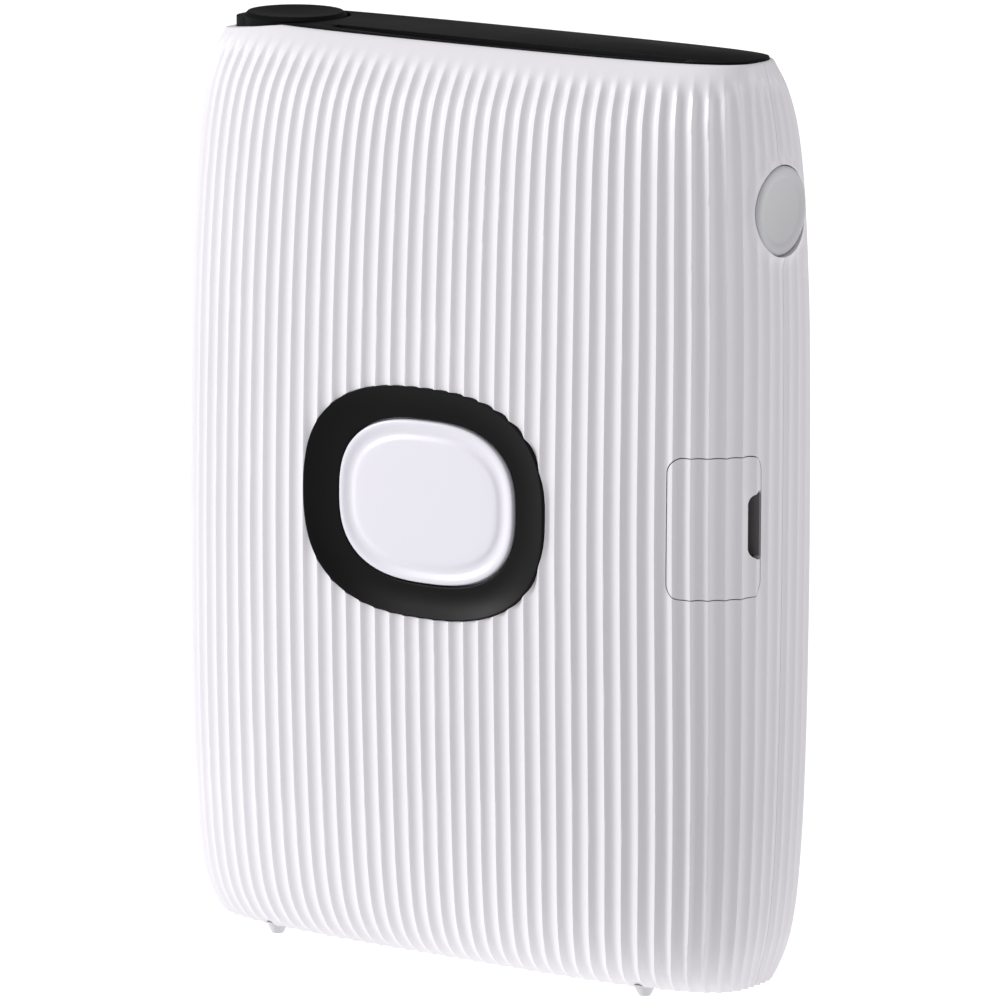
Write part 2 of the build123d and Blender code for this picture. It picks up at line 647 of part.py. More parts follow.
def gear_plate():
    plate = block(PLATE_X, (-8.4, 12.6), (78, 116.6))
    for y in (FRONT_ROLLER_Y, REAR_ROLLER_Y):
        plate -= rod_x((-30, -27), (y, ROLLER_Z), ROLLER_SHAFT_R + 0.3)
    for yz in (IDLER_YZ, COMPOUND_YZ, CAM_YZ):
        plate -= rod_x((-30, -27), yz, AXLE_R + 0.02)
    for y, z in GEAR_PLATE_SCREWS:
        plate -= rod_x((-30, -27), (y, z), 0.75)
    return plate & case_body(WALL + 0.3, 2, 122)


def gear_axles():
    reach = {IDLER_YZ: NEAR_X[0], COMPOUND_YZ: FAR_X[0], CAM_YZ: NEAR_X[0]}
    return [rod_x((x - 0.6, PLATE_X[1]), yz, AXLE_R) for yz, x in reach.items()]


def gear_plate_screws():
    screws = []
    for y, z in GEAR_PLATE_SCREWS:
        screws.append(rod_x((-29.0, PLATE_X[0]), (y, z), 1.2) + rod_x((PLATE_X[0] - 0.1, -27.0), (y, z), 0.6))
    return screws


def case_screws():
    return [rod_y((3.0, 4.3), xz, 1.6) + rod_y((-6.0, 3.1), xz, 0.8) for xz in CASE_SCREWS]


def light_seals():
    """Felt strips under the top panel, in front of and behind the film's path."""
    inside = case_body(WALL + 0.3, 100, HEIGHT - 1.9)
    front = block((FILM_X - 28, FILM_X + 28), (FILM_Y - 2.2, FILM_Y - 0.7), (119.5, HEIGHT - 1.85)) & inside
    back = block((FILM_X - 28, FILM_X + 28), (FILM_Y + 0.7, FILM_Y + 2.2), (119.5, HEIGHT - 1.85)) & inside
    return [front, back]


# ---- rollers and gear train ----
def front_roller():
    shaft = rod_x((SYNC_X[0] - 0.2, BLOCK_RIGHT_X[1] + 0.4), (FRONT_ROLLER_Y, ROLLER_Z), ROLLER_SHAFT_R)
    return shaft + rod_x(ROLLER_X, (FRONT_ROLLER_Y, ROLLER_Z), ROLLER_R)


def rear_roller():
    shaft = rod_x((NEAR_X[0] - 0.3, BLOCK_RIGHT_X[1] + 0.4), (REAR_ROLLER_Y, ROLLER_Z), ROLLER_SHAFT_R)
    return shaft + rod_x(ROLLER_X, (REAR_ROLLER_Y, ROLLER_Z), ROLLER_R - 0.7)


def rear_roller_sleeve():
    x = (ROLLER_X[0] + 0.1, ROLLER_X[1] - 0.1)
    sleeve = rod_x(x, (REAR_ROLLER_Y, ROLLER_Z), ROLLER_R)
    return sleeve - rod_x(ROLLER_X, (REAR_ROLLER_Y, ROLLER_Z), ROLLER_R - 0.68)


DRIVE_PHASE = 0.0
IDLER_PHASE = mesh_phase(DRIVE_YZ, DRIVE_PHASE, DRIVE_TEETH, IDLER_YZ, IDLER_TEETH)
COMPOUND_PHASE = mesh_phase(IDLER_YZ, IDLER_PHASE, IDLER_TEETH, COMPOUND_YZ, COMPOUND_SMALL_TEETH)
PINION_PHASE = mesh_phase(COMPOUND_YZ, COMPOUND_PHASE, COMPOUND_BIG_TEETH, PINION_YZ, PINION_TEETH)
CAM_PHASE = mesh_phase(COMPOUND_YZ, COMPOUND_PHASE, COMPOUND_SMALL_TEETH, CAM_YZ, CAM_TEETH)
REAR_SYNC_YZ = (REAR_ROLLER_Y, ROLLER_Z)
FRONT_SYNC_YZ = (FRONT_ROLLER_Y, ROLLER_Z)
REAR_SYNC_PHASE = 0.0
FRONT_SYNC_PHASE = mesh_phase(REAR_SYNC_YZ, REAR_SYNC_PHASE, SYNC_TEETH, FRONT_SYNC_YZ, SYNC_TEETH)


def front_roller_gear():
    return gear(SYNC_TEETH, SYNC_MODULE, FRONT_SYNC_YZ, SYNC_X, FRONT_SYNC_PHASE, ROLLER_SHAFT_R + 0.02)


def rear_roller_gear():
    return gear(SYNC_TEETH, SYNC_MODULE, REAR_SYNC_YZ, SYNC_X, REAR_SYNC_PHASE, ROLLER_SHAFT_R + 0.02)


def roller_drive_gear():
    return gear(DRIVE_TEETH, TRAIN_MODULE, DRIVE_YZ, NEAR_X, DRIVE_PHASE, ROLLER_SHAFT_R + 0.02)


def idler_gear():
    return gear(IDLER_TEETH, TRAIN_MODULE, IDLER_YZ, NEAR_X, IDLER_PHASE, AXLE_R + RUNNING)


def compound_gear():
    small = gear(COMPOUND_SMALL_TEETH, TRAIN_MODULE, COMPOUND_YZ, (FAR_X[1] - 0.1, NEAR_X[1]), COMPOUND_PHASE,
                 AXLE_R + RUNNING)
    big = gear(COMPOUND_BIG_TEETH, TRAIN_MODULE, COMPOUND_YZ, FAR_X, COMPOUND_PHASE, AXLE_R + RUNNING)
    return small + big


def motor_pinion():
    wheel = gear(PINION_TEETH, TRAIN_MODULE, PINION_YZ, FAR_X, PINION_PHASE, 0.3)
    return wheel + rod_x((MOTOR_X[1] - 3.0, FAR_X[1]), PINION_YZ, 0.5)


def cam_gear():
    return gear(CAM_TEETH, TRAIN_MODULE, CAM_YZ, NEAR_X, CAM_PHASE, AXLE_R + RUNNING)


def motor():
    can = rod_x(MOTOR_X, PINION_YZ, MOTOR_R)
    can = can & block((-60, 0), (PINION_YZ[0] - MOTOR_R, PINION_YZ[0] + MOTOR_R),
                      (PINION_YZ[1] - 4.9, PINION_YZ[1] + 4.9))
    return can - rod_x((MOTOR_X[1] - 3.2, 0), PINION_YZ, 0.5 + RUNNING)


def motor_bracket():
    """Steel plate that holds the motor, on two feet that stand on the gear plate."""
    y, z = PINION_YZ
    plate = block((MOTOR_X[1], MOTOR_X[1] + 0.8), (y - 8.2, y + 11.6), (z - 7.2, z + 3.5))
    plate -= rod_x((-40, -30), PINION_YZ, 1.2)
    feet_low = block((MOTOR_X[1], PLATE_X[0]), (y - 8.2, y - 7.4), (z - 7.2, z - 2.5))
    feet_back = block((MOTOR_X[1], PLATE_X[0]), (y + 10.8, y + 11.6), (z - 7.2, z - 2.5))
    return plate + feet_low + feet_back


def pick_claw():
    strip = block((-29.3, -28.1), (5.9, 9.1), CLAW_Z)
    hook = block((-28.2, -26.1), (6.1, 8.9), (CLAW_Z[0], CLAW_Z[0] + 2.5))
    tab = block((-32.2, -29.2), (6.4, 8.6), (54, 55.2))
    return strip + hook + tab


def claw_spring():
    return Pos(-31.2, 7.5, CLAW_LEDGE_Z + 0.2) * coil(0.9, 0.14, 12.6, 12)


def build():
    walls = case_walls()
    save("front_cover", front_cover(walls))
    save("rear_cover", rear_cover(walls))
    save("film_door", film_door())
    save("door_hinge_pins", *door_hinge_pins())
    save("door_latch", door_latch())
    save("latch_spring", latch_spring())
    save("pressure_springs", *pressure_springs())
    save("usb_cover", usb_cover())
    save("top_panel", top_panel())
    save("strap_post", strap_post())
    save("button_bezel", button_bezel())
    save("power_button", power_button())
    save("light_ring", light_ring())
    save("power_board", power_board())
    save("power_switch", power_switch())
    save("status_leds", *status_leds())
    save("function_button", function_button())
    save("function_board", function_board())
    save("function_switch", function_switch())
    save("main_board", main_board())
    save("board_chips", *board_chips())
    save("shield_can", shield_can())
    save("usb_socket", usb_socket())
    save("port_surround", port_surround())
    save("battery_cell", battery_cell())
    save("battery_pad", battery_pad())
    save("chassis", chassis())
    save("exposure_head", exposure_head())
    save("lens_array", lens_array())
    save("bearing_block_left", bearing_block(BLOCK_LEFT_X))
    save("bearing_block_right", bearing_block(BLOCK_RIGHT_X))
    save("gear_plate", gear_plate())
    save("gear_axles", *gear_axles())
    save("gear_plate_screws", *gear_plate_screws())
    save("case_screws", *case_screws())
    save("light_seals", *light_seals())
    save("front_roller", front_roller())
    save("rear_roller", rear_roller())
    save("rear_roller_sleeve", rear_roller_sleeve())
    save("front_roller_gear", front_roller_gear())
    save("rear_roller_gear", rear_roller_gear())
    save("roller_drive_gear", roller_drive_gear())
    save("idler_gear", idler_gear())
    save("compound_gear", compound_gear())
    save("motor_pinion", motor_pinion())
    save("cam_gear", cam_gear())
    save("motor", motor())
    save("motor_bracket", motor_bracket())
    save("pick_claw", pick_claw())
    save("claw_spring", claw_spring())
    save("feet", *feet())


os.makedirs("parts", exist_ok=True)
build()
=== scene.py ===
import bmesh
import bpy
import json
import math
import numpy as np
from mathutils import Matrix, Vector


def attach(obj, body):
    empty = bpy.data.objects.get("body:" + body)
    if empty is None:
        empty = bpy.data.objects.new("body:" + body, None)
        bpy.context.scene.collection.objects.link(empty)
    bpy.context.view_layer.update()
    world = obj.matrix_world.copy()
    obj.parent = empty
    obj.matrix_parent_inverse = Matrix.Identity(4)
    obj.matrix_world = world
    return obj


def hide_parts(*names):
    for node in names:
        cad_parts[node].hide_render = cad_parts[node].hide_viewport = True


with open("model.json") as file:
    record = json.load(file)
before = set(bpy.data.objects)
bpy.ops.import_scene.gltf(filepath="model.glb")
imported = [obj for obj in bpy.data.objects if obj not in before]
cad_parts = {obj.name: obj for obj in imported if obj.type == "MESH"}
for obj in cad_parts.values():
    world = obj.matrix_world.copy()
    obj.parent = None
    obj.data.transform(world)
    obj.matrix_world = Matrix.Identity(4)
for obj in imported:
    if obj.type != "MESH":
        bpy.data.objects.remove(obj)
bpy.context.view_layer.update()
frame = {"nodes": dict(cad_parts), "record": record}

# Lengths below are millimetres in the case's own drawing, whose Z = 0 is the case's underside.
MM = 0.001
LIFT = 1.2
HEIGHT = 124.5

# The case's form, the same tables as the CAD part's.
HALF_WIDTH = [(0, 42.44), (2.5, 43.2), (6, 44.15), (12, 44.9), (22, 45.5), (40, 45.86), (62, 45.95),
              (85, 45.88), (103, 45.32), (113, 44.6), (120, 43.4), (HEIGHT, 41.78)]
HALF_DEPTH = [(0, 10.9), (1.5, 12.9), (4, 14.6), (8, 15.8), (15, 16.6), (26, 17.2), (42, 17.8), (62, 18.2),
              (82, 17.9), (98, 17.3), (109, 16.4), (116, 15.1), (121, 12.65), (HEIGHT, 9.65)]
EXPONENT = [(0, 3.40), (62, 3.135), (HEIGHT, 3.01)]

# Flutes round the case.
FLUTE_PITCH = 2.385
FLUTE_START = -0.15
FLUTE_DEPTH = 0.52
FLUTE_COLUMNS = 12
FLUTE_FADE = (HEIGHT - 5.0, HEIGHT - 0.8)
FLUTE_CALM = (6.2, 7.5)
SKIN = 0.02
RIM_ROUND = 0.32

# Power button and bezel.
BUTTON_Z = 63.75
OUTLINE_EXPONENT = 2.6
OUTLINE_POINTS = 160
BEZEL_HALF = (19.3, 15.6)
BUTTON_HALF = (14.0, 11.0)
BUTTON_STEM_R = 2.2
HOLE_HALF = (14.22, 11.22)

# Function button.
FUNCTION_Z = 105.1
FUNCTION_POINTS = 96
FUNCTION_DISH_X = 44.55
FUNCTION_DISH_R = 40.0

# Edge angles, in degrees, above which shading stays crisp.
SHELL_CRISP = 38
ROUND_CRISP = 50


# ---- geometry helpers ----
def table_value(table, z):
    """Smooth value of a height table, by a cubic through its points with limited slopes."""
    if z <= table[0][0]:
        return table[0][1]
    if z >= table[-1][0]:
        return table[-1][1]
    steps = [(b[1] - a[1]) / (b[0] - a[0]) for a, b in zip(table, table[1:])]
    slopes = [steps[0]]
    for before, after in zip(steps, steps[1:]):
        slopes.append(0 if before * after <= 0 else 2 * before * after / (before + after))
    slopes.append(steps[-1])
    i = max(k for k in range(len(table) - 1) if table[k][0] <= z)
    (z0, v0), (z1, v1) = table[i], table[i + 1]
    span = z1 - z0
    t = (z - z0) / span
    rise = (2 * t**3 - 3 * t**2 + 1) * v0 + (3 * t**2 - 2 * t**3) * v1
    lean = (t**3 - 2 * t**2 + t) * slopes[i] + (t**3 - t**2) * slopes[i + 1]
    return rise + span * lean


def line_value(table, z):
    """Straight-line value of a height table."""
    for (z0, v0), (z1, v1) in zip(table, table[1:]):
        if z <= z1:
            return v0 + (v1 - v0) * (z - z0) / (z1 - z0)
    return table[-1][1]


def to_frame(points):
    """Drawing millimetres to frame metres."""
    return (np.asarray(points, float) + (0, 0, LIFT)) * MM


def new_piece(name, points, faces):
    """A closed mesh from points in drawing millimetres, in the scene."""
    mesh = bpy.data.meshes.new(name)
    mesh.from_pydata([tuple(p) for p in to_frame(points)], [], faces)
    obj = bpy.data.objects.new(name, mesh)
    bpy.context.scene.collection.objects.link(obj)
    mesh.validate()
    return obj


def soften(mesh, angle):
    """Smooth shading with edges sharper than the angle kept crisp."""
    mesh.validate()
    mesh.polygons.foreach_set("use_smooth", [True] * len(mesh.polygons))
    mesh.set_sharp_from_angle(angle=math.radians(angle))
    mesh.update()


def ring_faces(rings, columns, loop=False):
    """Quads between rings of points, with the two ends filled, or joined to each other in a loop."""
    faces = []
    last = rings if loop else rings - 1
    for r in range(last):
        low, high = r * columns, ((r + 1) % rings) * columns
        for c in range(columns):
            n = (c + 1) % columns
            faces.append((low + c, low + n, high + n, high + c))
    if not loop:
        faces.append(tuple(reversed(range(columns))))
        faces.append(tuple(range((rings - 1) * columns, rings * columns)))
    return faces


def faces_outward(obj):
    """Makes every face look out of the solid."""
    bm = bmesh.new()
    bm.from_mesh(obj.data)
    bmesh.ops.recalc_face_normals(bm, faces=bm.faces)
    bm.to_mesh(obj.data)
    bm.free()


def copy_node(node, name):
    """A copy of a CAD node's mesh with its shared edges joined."""
    mesh = frame["nodes"][node].data.copy()
    mesh.name = name
    mesh.materials.clear()
    bm = bmesh.new()
    bm.from_mesh(mesh)
    bmesh.ops.remove_doubles(bm, verts=bm.verts, dist=2e-6)
    bmesh.ops.dissolve_degenerate(bm, edges=bm.edges, dist=1e-7)
    open_edges = sum(1 for e in bm.edges if not e.is_manifold)
    bm.to_mesh(mesh)
    bm.free()
    if "custom_normal" in mesh.attributes:
        mesh.attributes.remove(mesh.attributes["custom_normal"])
    obj = bpy.data.objects.new(name, mesh)
    bpy.context.scene.collection.objects.link(obj)
    return obj, open_edges


def keep_inside(obj, other, solver):
    """Keeps the part of a piece that is inside another."""
    tool = obj.modifiers.new("cut", "BOOLEAN")
    tool.operation = "INTERSECT"
    tool.solver = solver
    tool.object = other
    baked = bpy.data.meshes.new_from_object(obj.evaluated_get(bpy.context.evaluated_depsgraph_get()))
    obj.modifiers.clear()
    old = obj.data
    obj.data = baked
    bpy.data.meshes.remove(old)


# ---- fluted case ----
def flute_columns():
    """Directions round the middle section, spaced evenly along its girth, and each one's flute phase."""
    a, b = table_value(HALF_WIDTH, 62), table_value(HALF_DEPTH, 62)
    n = line_value(EXPONENT, 62)
    angle = np.linspace(-math.pi / 2, 1.5 * math.pi, 60001)
    c, s = np.cos(angle), np.sin(angle)
    u = np.sign(c) * np.abs(c) ** (2 / n)
    v = np.sign(s) * np.abs(s) ** (2 / n)
    girth = np.concatenate([[0], np.cumsum(np.hypot(np.diff(a * u), np.diff(b * v)))])
    flutes = round(girth[-1] / FLUTE_PITCH)
    count = flutes * FLUTE_COLUMNS
    place = ((np.arange(count) / FLUTE_COLUMNS + FLUTE_START) / flutes % 1.0) * girth[-1]
    order = np.argsort(place)
    place = place[order]
    phase = (np.arange(count) % FLUTE_COLUMNS / FLUTE_COLUMNS)[order]
    return np.interp(place, girth, u), np.interp(place, girth, v), phase


def flute_profile(phase):
    """Inward depth across one flute: a shallow hollow between softly rounded ridges."""
    fine = np.arange(2400) / 1200.0
    hollow = 1 - (2 * (fine % 1.0) - 1) ** 2
    width = 150
    soft = np.convolve(np.tile(hollow, 3), np.ones(width) / width, mode="same")[2400:4800]
    soft = (soft - soft.min()) / (soft.max() - soft.min())
    return np.interp(phase % 1.0, fine, soft)


def fluted_case():
    """Solid of the case's outer form. Its flutes run out near the top and round the function button."""
    u, v, phase = flute_columns()
    profile = flute_profile(phase)
    levels = [0, 0.3, 0.7, 1.2, 1.8, 2.5, 3.3, 4.2, 5.2, 6.4, 7.8, 9.5, 11.5, 14, 17, 20.5, 24.5, 29, 34, 39,
              44, 49, 54, 59, 64, 69, 74, 79, 84, 89, 93, 95.5, 97.2, 98.2, 99, 99.8, 100.6, 101.5, 102.5,
              103.8, 105.1, 106.4, 107.7, 108.7, 109.6, 110.4, 111.2, 112, 113, 114.1, 115.1, 116.1, 117.1,
              118, 118.9, 119.7, 120.4, 121.1, 121.7, 122.3, 122.8, 123.3, 123.7]
    levels += [HEIGHT - RIM_ROUND * (1 - math.sin(math.radians(k))) for k in (0, 22, 45, 67, 90)]
    points = []
    for z in levels:
        a, b = table_value(HALF_WIDTH, z), table_value(HALF_DEPTH, z)
        n = line_value(EXPONENT, z)
        reach = (np.abs(u) ** n + np.abs(v) ** n) ** (-1 / n)
        x, y = a * u * reach, b * v * reach
        nx = np.sign(x) * np.abs(u * reach) ** (n - 1) / a
        ny = np.sign(y) * np.abs(v * reach) ** (n - 1) / b
        length = np.hypot(nx, ny)
        low, high = FLUTE_FADE
        t = min(1.0, max(0.0, (z - low) / (high - low)))
        fade = 1 - t * t * (3 - 2 * t)
        near = np.where(x > 0, np.hypot(y, z - FUNCTION_Z), 99.0)
        calm = np.clip((near - FLUTE_CALM[0]) / (FLUTE_CALM[1] - FLUTE_CALM[0]), 0.0, 1.0)
        fade = fade * calm * calm * (3 - 2 * calm)
        top = max(0.0, z - (HEIGHT - RIM_ROUND))
        rounding = RIM_ROUND - math.sqrt(max(0.0, RIM_ROUND**2 - top**2))
        inward = SKIN + FLUTE_DEPTH * fade * profile + rounding
        lift = SKIN if z == 0 else (-SKIN if z == levels[-1] else 0)
        points.append(np.stack([x - nx / length * inward, y - ny / length * inward,
                                np.full_like(x, z + lift)], axis=1))
    columns = len(u)
    return new_piece("fluted_form", np.concatenate(points), ring_faces(len(levels), columns))


def shell_piece(name, node, body, form, slot_name="shell_white"):
    """The CAD part's walls, openings and bosses, with the fluted skin outside."""
    piece, open_edges = copy_node(node, name)
    keep_inside(piece, form, "MANIFOLD" if open_edges == 0 else "EXACT")
    soften(piece.data, SHELL_CRISP)
    finish_piece(piece, node, body, slot_name)


# ---- rounded pieces ----
def outline(half, exponent, y):
    """Rounded outline about the power button's centre."""
    t = np.arange(OUTLINE_POINTS) * 2 * math.pi / OUTLINE_POINTS
    c, s = np.cos(t), np.sin(t)
    x = half[0] * np.sign(c) * np.abs(c) ** (2 / exponent)
    z = half[1] * np.sign(s) * np.abs(s) ** (2 / exponent)
    return np.stack([x, np.full_like(x, y), BUTTON_Z + z], axis=1)


def power_button():
    """Cap with a rounded edge and a moat. Each profile step is how far outside the cap's outline, and y."""
    stem = [(-14.2, BUTTON_STEM_R), (-15.1, BUTTON_STEM_R)]
    profile = [(1.1, -15.1), (1.1, -15.72), (0.0, -15.76), (0.0, -16.84), (-0.04, -16.96), (-0.13, -17.04),
               (-0.26, -17.09), (-0.42, -17.1), (-0.58, -17.09), (-0.74, -17.05), (-0.95, -16.96),
               (-1.2, -16.84), (-1.5, -16.74), (-1.8, -16.71), (-2.05, -16.74), (-2.25, -16.82),
               (-2.42, -16.91), (-2.6, -16.98), (-2.85, -17.02), (-3.4, -17.045), (-5.0, -17.06),
               (-8.0, -17.07), (-10.5, -17.075)]
    rings = [outline((radius, radius), 2.0, y) for y, radius in stem]
    for grow, y in profile:
        rings.append(outline((BUTTON_HALF[0] + grow, BUTTON_HALF[1] + grow), OUTLINE_EXPONENT, y))
    piece = new_piece("power_button_cap", np.concatenate(rings), ring_faces(len(rings), OUTLINE_POINTS))
    faces_outward(piece)
    soften(piece.data, ROUND_CRISP)
    finish_piece(piece, "power_button", "power_button", "button_white")


def bezel():
    """Dished ring round the power button; share 0 is its inner edge and 1 its outer edge."""
    profile = [(0.0, -15.9), (0.0, -16.5), (0.006, -16.62), (0.03, -16.69), (0.08, -16.72), (0.2, -16.77),
               (0.35, -16.87), (0.5, -17.02), (0.65, -17.22), (0.78, -17.44), (0.88, -17.63), (0.94, -17.75),
               (0.968, -17.8), (0.985, -17.81), (0.996, -17.78), (1.0, -17.71), (1.0, -15.55), (1.22, -15.5),
               (1.22, -15.2), (0.8, -15.2), (0.78, -15.9)]
    rings = []
    for share, y in profile:
        half = [h + share * (b - h) for h, b in zip(HOLE_HALF, BEZEL_HALF)]
        rings.append(outline(half, OUTLINE_EXPONENT, y))
    piece = new_piece("bezel_ring", np.concatenate(rings), ring_faces(len(rings), OUTLINE_POINTS, loop=True))
    faces_outward(piece)
    soften(piece.data, ROUND_CRISP)
    finish_piece(piece, "button_bezel", "housing", "bezel_black")


def function_button():
    """Cap with a raised rim and a dish. Each profile step is x and the radius there."""
    profile = [(41.4, 0.0), (41.4, 6.75), (42.05, 6.75), (42.1, 5.95), (44.62, 5.95), (44.8, 5.9),
               (44.93, 5.78), (44.99, 5.6), (44.98, 5.3), (44.95, 4.95), (44.9, 4.7), (44.83, 4.5),
               (44.77, 4.3)]
    for r in (4.0, 3.5, 2.8, 2.0, 1.0, 0.0):
        profile.append((FUNCTION_DISH_X + FUNCTION_DISH_R - math.sqrt(FUNCTION_DISH_R**2 - r**2), r))
    t = np.arange(FUNCTION_POINTS) * 2 * math.pi / FUNCTION_POINTS
    rings = []
    for x, r in profile:
        r = max(r, 0.02)
        rings.append(np.stack([np.full_like(t, x), r * np.cos(t), FUNCTION_Z + r * np.sin(t)], axis=1))
    piece = new_piece("function_button_cap", np.concatenate(rings), ring_faces(len(rings), FUNCTION_POINTS))
    faces_outward(piece)
    soften(piece.data, ROUND_CRISP)
    finish_piece(piece, "function_button", "function_button", "button_grey")


def rounded_copy(node, body, slot_name, width):
    """A CAD part's shape with its sharp edges broken."""
    piece, _ = copy_node(node, node + "_rounded")
    bm = bmesh.new()
    bm.from_mesh(piece.data)
    bmesh.ops.dissolve_limit(bm, angle_limit=math.radians(1.0), verts=bm.verts, edges=bm.edges)
    bm.to_mesh(piece.data)
    bm.free()
    tool = piece.modifiers.new("edge", "BEVEL")
    tool.width = width * MM
    tool.segments = 2
    tool.limit_method = "ANGLE"
    tool.angle_limit = math.radians(35)
    baked = bpy.data.meshes.new_from_object(piece.evaluated_get(bpy.context.evaluated_depsgraph_get()))
    piece.modifiers.clear()
    piece.data = baked
    soften(piece.data, ROUND_CRISP)
    finish_piece(piece, node, body, slot_name)


def finish_piece(piece, node, body, slot_name):
    """Puts a piece on its body in place of a CAD node, with its material."""
    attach(piece, body)
    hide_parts(node)
    paint(piece, slot_name)


# ---- materials ----
class Nodes:
    """A material under construction, with short ways to add and link its nodes."""

    def __init__(self, name):
        self.material = bpy.data.materials.new(name)
        self.material.use_nodes = True
        self.tree = self.material.node_tree
        self.shader = self.tree.nodes["Principled BSDF"]
        self.place = self.add("ShaderNodeTexCoord").outputs["Object"]

    def add(self, kind, **values):
        node = self.tree.nodes.new(kind)
        for key, value in values.items():
            setattr(node, key, value)
        return node

    def link(self, source, target):
        self.tree.links.new(source, target)

    def stretched(self, scale):
        mapping = self.add("ShaderNodeMapping")
        self.link(self.place, mapping.inputs["Vector"])
        mapping.inputs["Scale"].default_value = scale
        return mapping.outputs["Vector"]

    def noise(self, scale, detail=2.0, stretch=None, rough=0.5):
        node = self.add("ShaderNodeTexNoise")
        self.link(self.stretched(stretch) if stretch else self.place, node.inputs["Vector"])
        node.inputs["Scale"].default_value = scale
        node.inputs["Detail"].default_value = detail
        node.inputs["Roughness"].default_value = rough
        return node.outputs["Fac"]

    def ramp(self, source, stops):
        node = self.add("ShaderNodeValToRGB")
        self.link(source, node.inputs["Fac"])
        while len(node.color_ramp.elements) < len(stops):
            node.color_ramp.elements.new(0.5)
        for element, (place, colour) in zip(node.color_ramp.elements, stops):
            element.position = place
            element.color = (*colour, 1) if len(colour) == 3 else (colour[0], colour[0], colour[0], 1)
        return node.outputs["Color"]

    def bump(self, source, strength, distance, under=None):
        node = self.add("ShaderNodeBump")
        node.inputs["Strength"].default_value = strength
        node.inputs["Distance"].default_value = distance * MM
        self.link(source, node.inputs["Height"])
        if under:
            self.link(under, node.inputs["Normal"])
        return node.outputs["Normal"]


def shade(colour, factor):
    return tuple(min(1.0, c * factor) for c in colour)


def plastic(name, colour, rough, grain=9000, grain_depth=0.004, mottle=0.03, coat=0.0, specular=0.5,
            wave=0.15):
    """Moulded plastic: a fine grain, a slight mottle in its colour and a little unevenness in its gloss."""
    m = Nodes(name)
    base = m.ramp(m.noise(55, 3), [(0.3, shade(colour, 1 - mottle)), (0.7, shade(colour, 1 + mottle))])
    m.link(base, m.shader.inputs["Base Color"])
    gloss = m.ramp(m.noise(140, 4), [(0.2, (rough - 0.03,)), (0.8, (rough + 0.03,))])
    m.link(gloss, m.shader.inputs["Roughness"])
    swell = m.bump(m.noise(90, 1), wave, 0.02)
    m.link(m.bump(m.noise(grain, 2), 0.6, grain_depth, swell), m.shader.inputs["Normal"])
    m.shader.inputs["Specular IOR Level"].default_value = specular
    m.shader.inputs["Coat Weight"].default_value = coat
    m.shader.inputs["Coat Roughness"].default_value = 0.25
    return m.material


def steel(name, colour, rough, stretch):
    """Metal brushed or drawn along one direction."""
    m = Nodes(name)
    streaks = m.noise(900, 3, stretch)
    tone = m.ramp(streaks, [(0.3, shade(colour, 0.86)), (0.7, shade(colour, 1.06))])
    m.link(tone, m.shader.inputs["Base Color"])
    m.link(m.ramp(streaks, [(0.3, (rough - 0.07,)), (0.7, (rough + 0.09,))]), m.shader.inputs["Roughness"])
    m.link(m.bump(streaks, 0.35, 0.01), m.shader.inputs["Normal"])
    m.shader.inputs["Metallic"].default_value = 1.0
    return m.material


def circuit(name):
    """Green solder mask over copper tracks and pads."""
    m = Nodes(name)
    tracks = m.add("ShaderNodeTexBrick")
    m.link(m.stretched((1.0, 0.0, 1.0)), tracks.inputs["Vector"])
    for key, value in (("Scale", 420.0), ("Mortar Size", 0.06), ("Brick Width", 1.4), ("Row Height", 0.5)):
        tracks.inputs[key].default_value = value
    tracks.inputs["Color1"].default_value = (0.012, 0.11, 0.045, 1)
    tracks.inputs["Color2"].default_value = (0.016, 0.13, 0.055, 1)
    tracks.inputs["Mortar"].default_value = (0.03, 0.24, 0.1, 1)
    m.link(tracks.outputs["Color"], m.shader.inputs["Base Color"])
    m.link(m.bump(tracks.outputs["Fac"], 0.4, 0.03), m.shader.inputs["Normal"])
    m.link(m.ramp(m.noise(200), [(0.3, (0.28,)), (0.7, (0.36,))]), m.shader.inputs["Roughness"])
    return m.material


def foil(name):
    """Pouch foil with creases."""
    m = Nodes(name)
    creases = m.add("ShaderNodeTexVoronoi", feature="DISTANCE_TO_EDGE")
    m.link(m.place, creases.inputs["Vector"])
    creases.inputs["Scale"].default_value = 160
    tone = m.ramp(m.noise(120, 4), [(0.3, (0.62, 0.63, 0.65)), (0.7, (0.78, 0.79, 0.81))])
    m.link(tone, m.shader.inputs["Base Color"])
    fine = m.bump(m.noise(700, 4), 0.25, 0.03)
    m.link(m.bump(creases.outputs["Distance"], 0.25, 0.08, fine), m.shader.inputs["Normal"])
    m.link(m.ramp(m.noise(160, 2), [(0.3, (0.26,)), (0.7, (0.4,))]), m.shader.inputs["Roughness"])
    m.shader.inputs["Metallic"].default_value = 0.85
    return m.material


def soft_black(name, colour, cell, depth):
    """Felt or foam: matt, with open cells or fibres, and painted shade that darkens each cell's hollow."""
    m = Nodes(name)
    cells = m.add("ShaderNodeTexVoronoi")
    m.link(m.place, cells.inputs["Vector"])
    cells.inputs["Scale"].default_value = cell
    # Painted shade: the colour is darkened to half in each cell's hollow, where the bump sinks, and lightened
    # towards the cell's raised rim.
    m.link(m.ramp(cells.outputs["Distance"], [(0.1, shade(colour, 0.5)), (0.7, shade(colour, 1.4))]),
           m.shader.inputs["Base Color"])
    m.link(m.bump(cells.outputs["Distance"], 0.8, depth), m.shader.inputs["Normal"])
    m.link(m.ramp(m.noise(300), [(0.3, (0.85,)), (0.7, (0.97,))]), m.shader.inputs["Roughness"])
    m.shader.inputs["Sheen Weight"].default_value = 0.3
    return m.material


